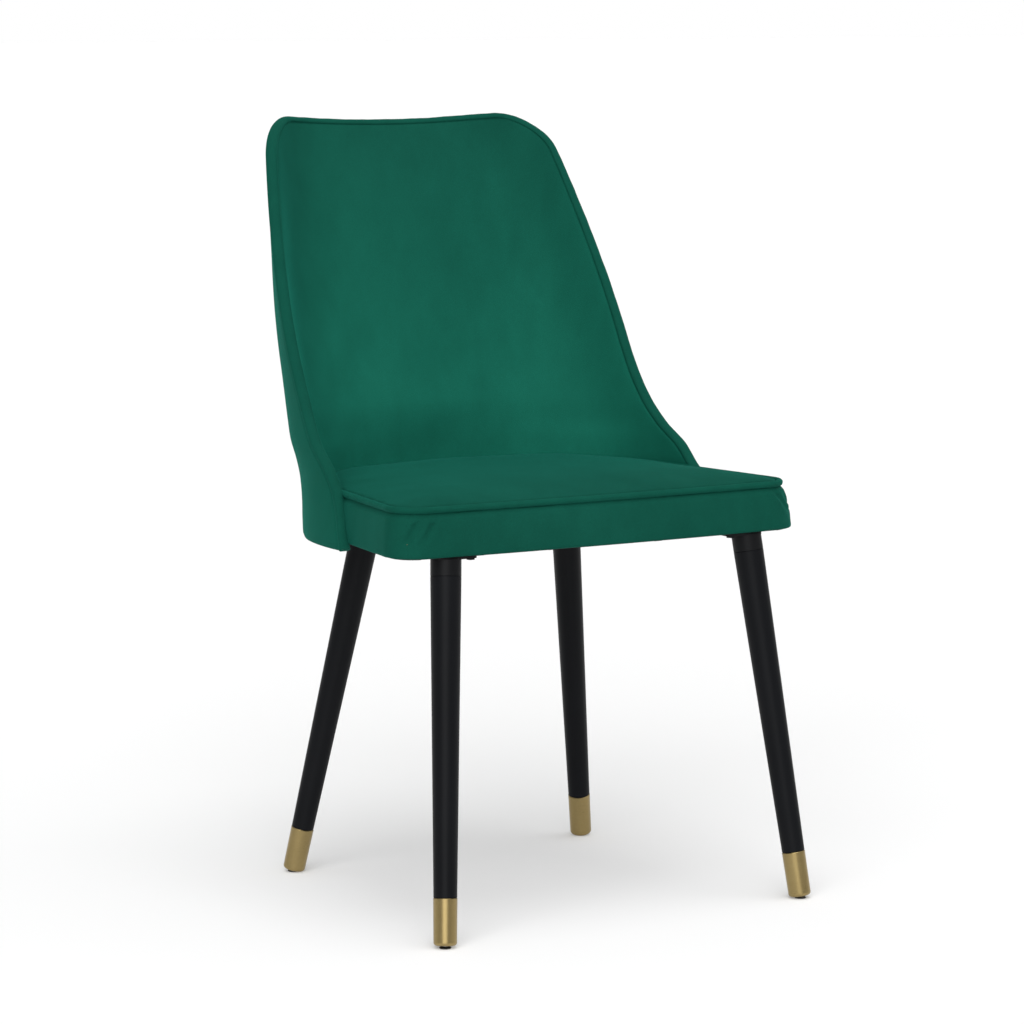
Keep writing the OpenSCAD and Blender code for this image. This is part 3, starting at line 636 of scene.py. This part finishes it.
def sheetFaces(rows, cols):
    # front grid, rear grid and the four walls between them
    total = rows * cols
    front = gridFaces(rows, cols)
    rear = gridFaces(rows, cols, start=total)[:, ::-1]
    rowEnds = np.arange(cols)
    colEnds = np.arange(rows) * cols
    walls = []
    edges = (rowEnds, (rows - 1) * cols + rowEnds[::-1], colEnds[::-1], colEnds + cols - 1)
    for edge in edges:
        a, b = edge[:-1], edge[1:]
        walls.append(np.column_stack([a, a + total, b + total, b]))
    return np.concatenate([front, rear, *walls])


insideBack = dict(steps=110, cornerSteps=16, columns=70, puff=0.0013, reach=0.0065,
                  seam=0.0012, seamReach=0.0018, lift=0.003, skin=0.0002,
                  heldTo=0.455, freeFrom=0.520, heldPuff=0.25, waves=(0.16, 0.07),
                  waveHeights=(0.0005, 0.0002), waveReach=0.03, fill=0.75)


def makeInsideBack():
    # the inside cover over its foam: the CAD face, puffed away from the rim
    # by puff * (1 - e^(-d / reach)) and drawn in at the seam, with less puff
    # where the cushion holds it
    n = insideBack
    z = backLevels(back["lowZ"] + n["lift"], n["steps"], n["cornerSteps"])[:, None]
    v = backColumns(n["columns"])[None, :]
    base = backPoint(z, v, back["frontFace"] - foamExtra(z, v))
    d = rimDistance(base)
    clear = ease(n["heldTo"], n["freeFrom"], z)
    full = n["heldPuff"] + (1 - n["heldPuff"]) * clear
    puff = n["puff"] * (1 - np.exp(-d / n["reach"])) * full
    draw = n["seam"] * np.exp(-((d / n["seamReach"]) ** 2))
    settled = clear * (1 - np.exp(-d / n["waveReach"]))
    soft = ripple(base, n["waves"], n["waveHeights"]) * settled
    front = backPoint(z, v, back["frontFace"] - foamExtra(z, v) - puff + draw + soft)
    rear = backPoint(z, v, back["shellFront"] - n["skin"])
    points = np.concatenate([front.reshape(-1, 3), rear.reshape(-1, 3)])
    faces = [sheetFaces(z.size, v.size)]
    piece = makePiece("insideBack", points, faces, velvetBack, 50)
    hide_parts("inside_back_cover", "back_foam")


makeInsideBack()
print("inside back made")

outsideBack = dict(steps=110, cornerSteps=16, columns=70, puff=0.0012, reach=0.030,
                   crease=0.0016, creaseReach=0.0022, hem=0.0045, hemDepth=0.0014,
                   skin=0.0002, waves=(0.21, 0.09), waveHeights=(0.0004, 0.00015),
                   waveReach=0.04)


def makeOutsideBack():
    # the outside cover over its wadding, creased at the rim and turned under
    # at the hem
    n = outsideBack
    z = backLevels(back["lowZ"], n["steps"], n["cornerSteps"])[:, None]
    v = backColumns(n["columns"])[None, :]
    base = backPoint(z, v, back["rearFace"])
    d = rimDistance(base)
    crease = n["crease"] * np.exp(-((d / n["creaseReach"]) ** 2))
    puff = n["puff"] * (1 - np.exp(-d / n["reach"]))
    hem = n["hemDepth"] * (1 - ease(0, n["hem"], z - back["lowZ"]))
    soft = ripple(base, n["waves"], n["waveHeights"]) * (1 - np.exp(-d / n["waveReach"]))
    rear = backPoint(z, v, back["rearFace"] + puff - crease - hem + soft)
    front = backPoint(z, v, back["shellRear"] + n["skin"])
    points = np.concatenate([front.reshape(-1, 3), rear.reshape(-1, 3)])
    faces = [sheetFaces(z.size, v.size)]
    piece = makePiece("outsideBack", points, faces, velvetRear, 50)
    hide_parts("outside_back_cover", "back_wadding")


makeOutsideBack()
print("outside back made")

edgeRoll = dict(steps=170, cornerSteps=40, acrossSteps=140, sides=22, stand=0.0052,
                tuck=0.0022, tuckShares=(0.80, 0.5, 0.20), frontLap=0.0006,
                rearLap=0.0004, full=0.82, endDrop=0.0008,
                waves=(0.055, 0.023), waveHeights=(0.00022, 0.00012))


def makeEdgeRoll():
    # a soft D-shaped roll carried along the rim, from one wing's foot over
    # the top to the other: half a superellipse outside, tucked in beneath
    n = edgeRoll
    levels = backLevels(back["lowZ"], n["steps"], n["cornerSteps"])
    top = np.linspace(-1, 1, n["acrossSteps"] + 1)[1:-1]
    z = np.r_[levels, np.full(top.size, back["topZ"]), levels[::-1]]
    v = np.r_[-np.ones(levels.size), top, np.ones(levels.size)]
    front = backPoint(z, v, back["frontFace"] - n["frontLap"])
    rear = backPoint(z, v, back["rearFace"] + n["rearLap"])
    across = rear - front
    along = unit(np.gradient(front, axis=0))
    out = unit(np.cross(along, across))
    a = np.linspace(0, math.pi, n["sides"])
    under = n["tuckShares"]
    share = np.r_[(1 - np.cos(a)) / 2, under]
    rise = np.r_[n["stand"] * np.sin(a) ** n["full"], np.full(len(under), -n["tuck"])]
    rings = (
        front[:, None] + across[:, None] * share[None, :, None]
        + out[:, None] * rise[None, :, None]
    )
    soft = ripple(rings, n["waves"], n["waveHeights"]) * (rise > 0)
    rings = rings + out[:, None] * soft[..., None]
    ends = rings[[0, -1]].mean(1) - (0, 0, n["endDrop"])
    count, sides = rings.shape[:2]
    points = np.concatenate([rings.reshape(-1, 3), ends])
    ring = np.arange(sides)
    caps = [
        fanFaces(ring, count * sides, flip=True),
        fanFaces(ring + (count - 1) * sides, count * sides + 1),
    ]
    faces = [gridFaces(count, sides, wrapCols=True), np.concatenate(caps)]
    piece = makePiece("edgeRoll", points, faces, velvetSeam, 60)
    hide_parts("back_edge_roll")


makeEdgeRoll()
print("edge roll made")


seat = dict(
    seatZ=0.414, width=0.524, reach=0.170, cornerRadius=0.035, bulge=0.005,
    boxing=0.051, flare=0.008, gap=0.0015, wingIn=0.94, crown=0.022,
    pipingZ=0.465, pipingInset=0.0025, pipingRadius=0.0035, domeY=0.025,
    tightCorner=0.001, frontSteps=40, cornerSteps=30, sideSteps=39, rearSteps=81,
)


def seatHalf(z, inset):
    # right half of the outline at a level: the bulged front, the corner's
    # arc, a straight side, and a rear that follows the back
    lean = seat["flare"] * min(max((z - seat["seatZ"]) / seat["boxing"], 0), 1)
    reach = seat["reach"] - lean - inset
    r = max(seat["cornerRadius"] - inset, seat["tightCorner"])
    endX = seat["width"] / 2 - lean - inset - r
    skew = math.atan(2 * seat["bulge"] / endX)
    middle = np.array(
        [endX - r * math.sin(skew), seat["bulge"] - reach + r * math.cos(skew)]
    )
    v = seat["wingIn"] * np.linspace(1, 0, seat["rearSteps"])
    off = back["frontFace"] - seat["gap"] - inset
    if z >= back["foamFrom"]:
        off = off - foamExtra(z, v)
    rear = backPoint(z, v, off)[:, :2]
    toWing = rear[0] - middle
    lead = math.atan2(toWing[1], toWing[0]) - math.acos(r / math.hypot(*toWing))
    u = np.linspace(0, 1, seat["frontSteps"], endpoint=False)
    front = np.column_stack([u * endX, seat["bulge"] * u * u - reach])
    a = np.linspace(skew - math.pi / 2, lead, seat["cornerSteps"])
    corner = middle + r * np.column_stack([np.cos(a), np.sin(a)])
    s = np.linspace(0, 1, seat["sideSteps"] + 1)[1:-1, None]
    side = corner[-1] + (rear[0] - corner[-1]) * s
    return np.concatenate([front, corner, side, rear])


def seatRing(z, inset, count):
    # the whole outline with its points spread evenly, from the front's middle
    half = seatHalf(z, inset)
    loop = np.concatenate([half, half[::-1] * (-1, 1)])
    run = np.r_[0, np.cumsum(np.linalg.norm(np.diff(loop, axis=0), axis=1))]
    s = np.linspace(0, run[-1], count, endpoint=False)
    return np.column_stack([np.interp(s, run, loop[:, k]) for k in (0, 1)])


def seatRings(profile, count):
    # one ring for each (height, inset) of a profile
    flat = np.array([seatRing(z, inset, count) for z, inset in profile])
    heights = np.broadcast_to(profile[:, 0][:, None, None], (*flat.shape[:2], 1))
    return np.concatenate([flat, heights], -1)


def ringOutward(rings):
    # level direction square to the outline, pointing out
    along = np.roll(rings, -1, axis=1) - np.roll(rings, 1, axis=1)
    return unit(np.stack([along[..., 1], -along[..., 0], along[..., 2] * 0], -1))


seatBoxing = dict(
    count=620, sideSteps=34, edge=0.003, bulge=0.0014, bulgePower=0.9,
    rise=0.0475, seamPull=0.0030, pullFrom=0.86, hemPoints=4,
    # height above the base and inset, under the base and then inside the boxing
    under=[(0.0001, 0.014), (0, 0.006), (0, 0.0034), (0.0004, 0.0018), (0.0013, 0.0006)],
    inner=[(0.030, 0.0034), (0.004, 0.0032), (0.0014, 0.0045), (0.0014, 0.014)],
    innerTop=0.0056,
    waves=(0.13, 0.05), waveHeights=(0.0005, 0.00018),
    wakeFrom=0.001, wakeTo=0.010, calmFrom=0.452, calmTo=0.461, calm=0.6,
    # each pucker: x, y, height, lean, length, width, depth
    puckers=[
        (-0.240, -0.156, 0.442, 0.60, 0.020, 0.0065, 0.0030),
        (-0.220, -0.163, 0.448, 0.50, 0.016, 0.0055, 0.0020),
        (0.232, -0.158, 0.450, -0.75, 0.018, 0.0055, 0.0021),
        (0.246, -0.146, 0.444, -0.90, 0.018, 0.0055, 0.0016),
        (-0.252, 0.010, 0.450, 0.30, 0.018, 0.0060, 0.0007),
        (0.252, 0.020, 0.448, -0.35, 0.018, 0.0060, 0.0007),
    ],
)


def makeSeatBoxing():
    # the boxing: hem under the base, a round lower edge, a slightly full side
    # drawn in under the piping, and the same again inside
    n = seatBoxing
    u = np.linspace(0, 1, n["sideSteps"])[1:]
    low = seat["seatZ"]
    full = n["bulge"] * np.sin(math.pi * u ** n["bulgePower"])
    pull = n["seamPull"] * ease(n["pullFrom"], 1.0, u)
    height = low + n["edge"] + (n["rise"] - n["edge"]) * u
    outer = np.column_stack([height, pull - full])
    under = np.array([*n["under"], (n["edge"], 0)]) + (low, 0)
    inner = np.array([(n["rise"], n["innerTop"]), *n["inner"]]) + (low, 0)
    profile = np.concatenate([under, outer, inner])
    rings = seatRings(profile, n["count"])
    out = ringOutward(rings)
    # only what shows moves: not the hem, the seam or the inside
    shown = np.zeros(len(profile))
    shown[n["hemPoints"]:len(under) + len(outer) - 1] = 1
    height = rings[..., 2]
    wake = ease(low + n["wakeFrom"], low + n["wakeTo"], height)
    fade = wake * (1 - ease(n["calmFrom"], n["calmTo"], height) * n["calm"])
    shift = ripple(rings, n["waves"], n["waveHeights"])
    for x, y, z, lean, length, width, depth in n["puckers"]:
        # a ridge beside a fold: (1 - 2q) e^(-q) across, a bell along
        flat = np.hypot(rings[..., 0] - x, rings[..., 1] - y)
        way = np.sign(rings[..., 0] - x + (rings[..., 1] - y) * np.sign(x))
        run, up = flat * way, height - z
        along = run * math.sin(lean) + up * math.cos(lean)
        q = ((run * math.cos(lean) - up * math.sin(lean)) / width) ** 2
        shift = shift - depth * (1 - 2 * q) * np.exp(-q - (along / length) ** 2)
    rings = rings + out * (shift * fade * shown[:, None])[..., None]
    faces = [gridFaces(len(profile), n["count"], wrapRows=True, wrapCols=True)]
    piece = makePiece("seatBoxing", rings, faces, velvetBoxing, 60)
    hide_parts("seat_boxing")


makeSeatBoxing()
print("seat boxing made")

seatPiping = dict(count=1100, sides=18, seam=0.00045, seamAt=-0.5, seamWidth=0.35,
                  waves=(0.030, 0.012), waveHeights=(0.00016, 0.0001))


def makeSeatPiping():
    # a covered cord round the outline, with its stitched seam as a small
    # groove low on the outside
    n = seatPiping
    a = np.linspace(0, 2 * math.pi, n["sides"], endpoint=False) - math.pi / 2
    turn = np.angle(np.exp(1j * (a - n["seamAt"])))
    radius = seat["pipingRadius"] - n["seam"] * np.exp(-((turn / n["seamWidth"]) ** 2))
    profile = np.column_stack([
        seat["pipingZ"] + radius * np.sin(a), seat["pipingInset"] - radius * np.cos(a)
    ])
    rings = seatRings(profile, n["count"])
    shift = ripple(rings, n["waves"], n["waveHeights"])
    rings = rings + ringOutward(rings) * shift[..., None]
    faces = [gridFaces(n["sides"], n["count"], wrapRows=True, wrapCols=True)]
    piece = makePiece("seatPiping", rings, faces, velvetSeam)
    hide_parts("seat_piping")


makeSeatPiping()
print("seat piping made")

seatCushion = dict(
    count=420, rings=46, gather=1.5, innermost=0.985, rimInset=0.0056, rimLift=0.0028,
    footZ=0.4585, footRise=0.002, footShares=(0.985, 0.999), start=0.52,
    quickStart=0.72, power=4.6, voxel=0.0045, pressure=4.0, frames=20, quality=6,
    cap=0.0045, pinFrom=0.4690, smoothing=0.5, smoothSteps=3, fill=0.8,
    waves=(0.17, 0.08), waveHeights=(0.0007, 0.0003), waveFrom=0.466, waveTo=0.474,
)


def cushionPoints(n, crown):
    # rings drawn in towards the middle, rising by crown * (1 - s^power),
    # with a foot below the piping
    shrinks = 1 - np.linspace(0, 1, n["rings"]) ** n["gather"] * n["innermost"]
    rim = seatRing(seat["pipingZ"], n["rimInset"], n["count"])
    middle = np.array([0, seat["domeY"]])
    flat = middle + (rim - middle) * shrinks[:, None, None]
    z = seat["pipingZ"] + n["rimLift"] + crown * (1 - shrinks ** n["power"])
    dome = np.concatenate(
        [flat, np.broadcast_to(z[:, None, None], (*flat.shape[:2], 1))], -1
    )
    foot = dome[:2].copy()
    foot[..., :2] = middle + (rim - middle) * np.reshape(n["footShares"], (2, 1, 1))
    foot[0, :, 2], foot[1, :, 2] = n["footZ"], n["footZ"] + n["footRise"]
    return np.concatenate([foot, dome])


def capMoves(piece, before, limit):
    # every point keeps its way from where it was, eased to at most the limit:
    # limit * tanh(move / limit)
    after = np.empty(len(piece.data.vertices) * 3)
    piece.data.vertices.foreach_get("co", after)
    move = after.reshape(-1, 3) - before
    size = np.linalg.norm(move, axis=1, keepdims=True) + 1e-9
    placed = before + move / size * limit * np.tanh(size / limit)
    piece.data.vertices.foreach_set("co", placed.ravel())
    piece.data.update()


def applyModifiers(piece):
    # bakes every modifier into the mesh, in order
    bpy.context.view_layer.objects.active = piece
    for modifier in list(piece.modifiers):
        bpy.ops.object.modifier_apply(modifier=modifier.name)


def swell(piece, n):
    # voxel remesh, then cloth under pressure with the rim held down
    remesh = piece.modifiers.new("remesh", "REMESH")
    remesh.mode = "VOXEL"
    remesh.voxel_size = n["voxel"]
    remesh.use_smooth_shade = True
    applyModifiers(piece)
    before = np.empty(len(piece.data.vertices) * 3)
    piece.data.vertices.foreach_get("co", before)
    before = before.reshape(-1, 3)
    held = piece.vertex_groups.new(name="held")
    held.add(np.flatnonzero(before[:, 2] < n["pinFrom"]).tolist(), 1.0, "REPLACE")
    cloth = piece.modifiers.new("cloth", "CLOTH")
    cloth.settings.use_pressure = True
    cloth.settings.uniform_pressure_force = n["pressure"]
    cloth.settings.effector_weights.gravity = 0
    cloth.settings.vertex_group_mass = "held"
    cloth.settings.quality = n["quality"]
    scene = bpy.context.scene
    for step in range(1, n["frames"] + 1):
        scene.frame_set(step)
    applyModifiers(piece)
    scene.frame_set(1)
    capMoves(piece, before, n["cap"])


def makeSeatCushion():
    # the seat's top: a crowned pad, started at a share of its crown and swelled by
    # simulation
    n = seatCushion
    share = n["start"]
    rings = cushionPoints(n, seat["crown"] * share)
    rings[2:, :, 2] += (
        ripple(rings[2:], n["waves"], n["waveHeights"])
        * ease(n["waveFrom"], n["waveTo"], rings[2:, :, 2])
    )
    count = len(rings)
    poles = rings[[0, -1]].mean(1)
    points = np.concatenate([rings.reshape(-1, 3), poles])
    ring = np.arange(n["count"])
    caps = [
        fanFaces(ring, count * n["count"], flip=True),
        fanFaces(ring + (count - 1) * n["count"], count * n["count"] + 1),
    ]
    faces = [gridFaces(count, n["count"], wrapCols=True), np.concatenate(caps)]
    piece = makePiece("seatCushion", points, faces, velvetSeat)
    swell(piece, n)
    smooth = piece.modifiers.new("smooth", "SMOOTH")
    smooth.factor = n["smoothing"]
    smooth.iterations = n["smoothSteps"]
    applyModifiers(piece)
    finer = piece.modifiers.new("finer", "SUBSURF")
    finer.levels = finer.render_levels = 1
    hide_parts("seat_top_cover", "seat_foam")


makeSeatCushion()
print("seat cushion made")


studioFloor = dict(
    size=80.0, tint=(0.70, 0.70, 0.70), glow=0.22, roughness=0.9, shine=0.1,
    cloudScale=0.8, cloudTone=0.995,
)


def makeFloor():
    # one square of a pale, faintly glowing floor, patches a hair darker
    n = studioFloor
    size = n["size"]
    mesh = bpy.data.meshes.new("floor")
    corners = [(-size, -size, 0), (size, -size, 0), (size, size, 0), (-size, size, 0)]
    mesh.from_pydata(corners, [], [(0, 1, 2, 3)])
    floor = bpy.data.objects.new("floor", mesh)
    bpy.context.scene.collection.objects.link(floor)
    paint = Finish(
        "floorPaint", Roughness=n["roughness"], Specular_IOR_Level=n["shine"],
        Emission_Color=(1, 1, 1), Emission_Strength=n["glow"]
    )
    cloud = paint.noise(n["cloudScale"], 1.0)
    low = tuple(n["cloudTone"] * part for part in n["tint"])
    paint.put("Base Color", paint.blendColours(cloud, low, n["tint"]))
    floor.data.materials.append(paint.material)


makeFloor()

sky = dict(
    horizon=0.20, zenith=0.50, rise=0.9, softEdge=0.10,
    # each soft box: direction towards it, how wide, how bright
    boxes=[((-0.50, -0.72, 0.48), 0.80, 0.9), ((0.85, -0.15, 0.50), 0.88, 0.5)],
)


def makeSky():
    # a pale dome, brighter overhead, with soft boxes the metal can mirror, and
    # plain white where the camera sees it
    world = bpy.data.worlds.new("studio")
    bpy.context.scene.world = world
    world.use_nodes = True
    dome = NodeTree(world.node_tree)
    way = dome.node("ShaderNodeTexCoord", {}, {}, "Generated")
    height = dome.node("ShaderNodeSeparateXYZ", {}, {0: way}, "Z")
    up = dome.node("ShaderNodeMath", {"operation": "MAXIMUM"}, {0: height, 1: 0.0})
    glow = sky["horizon"] + (sky["zenith"] - sky["horizon"]) * (up ** sky["rise"])
    for toward, width, power in sky["boxes"]:
        length = math.sqrt(sum(part * part for part in toward))
        aim = tuple(part / length for part in toward)
        facing = dome.node(
            "ShaderNodeVectorMath", {"operation": "DOT_PRODUCT"}, {0: way, 1: aim}, "Value"
        )
        near = dome.node(
            "ShaderNodeMapRange", {"interpolation_type": "SMOOTHSTEP"},
            {"Value": facing, "From Min": width, "From Max": width + sky["softEdge"]}
        )
        glow = glow + near * power
    seen = dome.node("ShaderNodeLightPath", {}, {}, "Is Camera Ray")
    strength = glow + seen * (1.0 - glow)
    background = dome.steps["Background"]
    dome.join((1, 1, 1), background.inputs["Color"])
    dome.join(strength, background.inputs["Strength"])


makeSky()

lamps = dict(
    key=dict(turn=(50, 0, -42), strength=1.10, angle=50),
    fill=dict(turn=(45, 0, 30), strength=0.40, angle=60),
    low=dict(turn=(80, 0, -32), strength=0.50, angle=40),
    top=dict(turn=(6, 0, 0), strength=0.85, angle=34),
)


def makeLamps():
    # distant lamps, each turned by angles in degrees, soft by its own width
    for name, values in lamps.items():
        light = bpy.data.lights.new(name, "SUN")
        light.energy = values["strength"]
        light.angle = math.radians(values["angle"])
        lamp = bpy.data.objects.new(name, light)
        lamp.rotation_euler = [math.radians(part) for part in values["turn"]]
        bpy.context.scene.collection.objects.link(lamp)


makeLamps()

view = dict(
    place=(-2.2633, -3.7539, 1.0062), turn=(82.527, 0, -30.8141), lens=137.61,
    sensor=36, farthest=300,
)


def makeCamera():
    # a long lens from the front left, a little above the seat
    lens = bpy.data.cameras.new("camera")
    lens.lens = view["lens"]
    lens.sensor_width = view["sensor"]
    lens.clip_end = view["farthest"]
    camera = bpy.data.objects.new("camera", lens)
    x, y, z = view["place"]
    camera.location = (x, y + datumY, z)
    camera.rotation_euler = [math.radians(part) for part in view["turn"]]
    bpy.context.scene.collection.objects.link(camera)
    bpy.context.scene.camera = camera


makeCamera()
bpy.context.scene.view_settings.view_transform = "Standard"
print("stage made")
